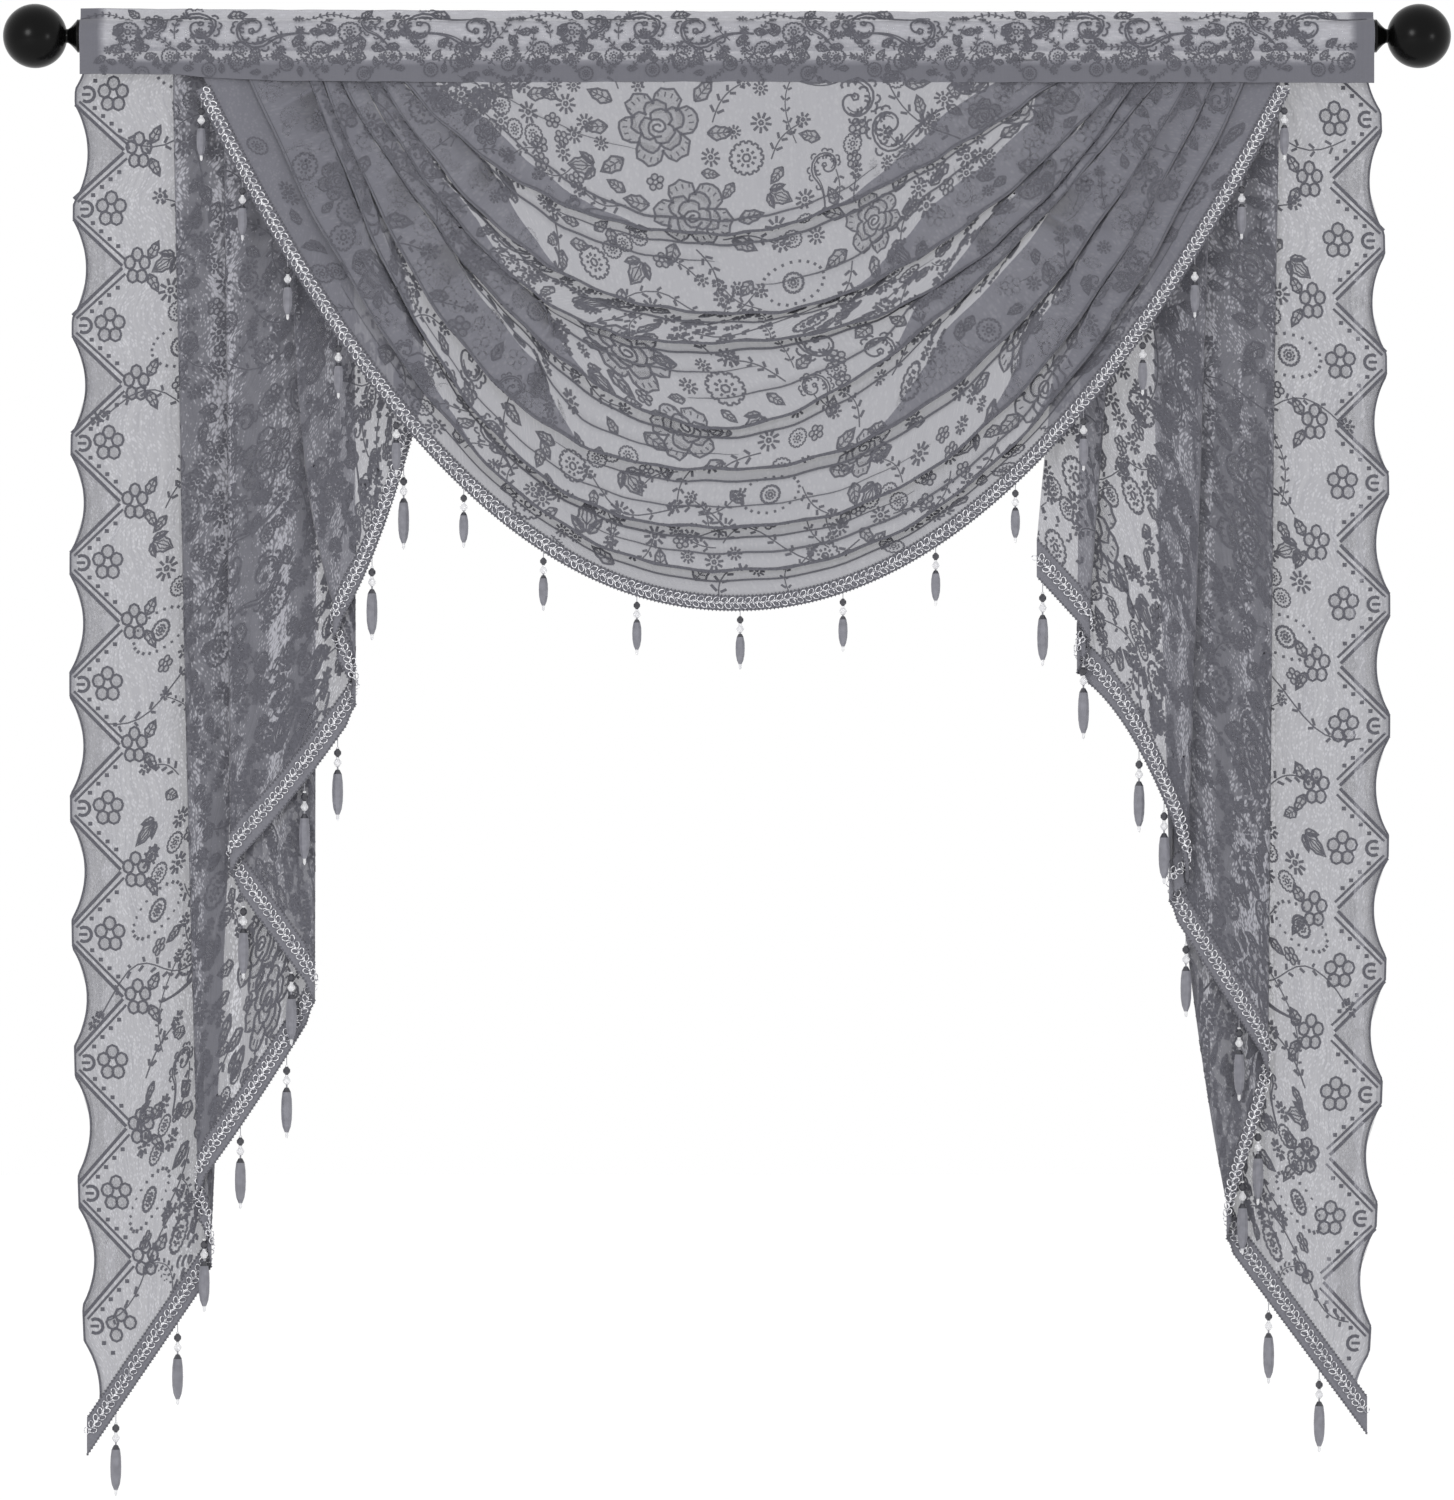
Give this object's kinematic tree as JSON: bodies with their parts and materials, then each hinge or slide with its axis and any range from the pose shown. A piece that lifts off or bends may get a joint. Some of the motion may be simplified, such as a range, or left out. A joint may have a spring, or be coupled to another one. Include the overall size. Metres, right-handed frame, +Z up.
{
  "type": "lace swag valance on curtain rod",
  "caption": "Sheer lace window valance: a rod pocket on a ball-ended curtain rod carries a draped swag between two pleated cascade tails, all edged with beaded braid.",
  "frame": {"origin": "on the rod's axis at the middle of its length, where wall brackets hold the rod", "axes": "+X along the rod to the right as seen from the room, +Y towards the window and wall, +Z up"},
  "size_m": [1.3464, 0.0852, 1.3915],
  "materials": {
    "rod": "satin white powder coat",
    "finial_left": "high gloss black lacquer",
    "finial_right": "high gloss black lacquer",
    "header_lace": "sheer grey lace, two layers",
    "swag_lace": "sheer grey lace net",
    "cascade_left_lace": "sheer grey lace net",
    "cascade_right_lace": "sheer grey lace net",
    "swag_braid": "silver grey braid with acrylic bead drops",
    "cascade_left_braid": "silver grey braid with acrylic bead drops",
    "cascade_right_braid": "silver grey braid with acrylic bead drops"
  },
  "bodies": {
    "root": {"rod": "rod", "finial_left": "finial_left", "finial_right": "finial_right", "header": "header_lace", "swag": "swag_lace", "cascade_left": "cascade_left_lace", "cascade_right": "cascade_right_lace", "swag_beaded_trim": "swag_braid", "cascade_left_beaded_trim": "cascade_left_braid", "cascade_right_beaded_trim": "cascade_right_braid"}
  },
  "joints": []
}
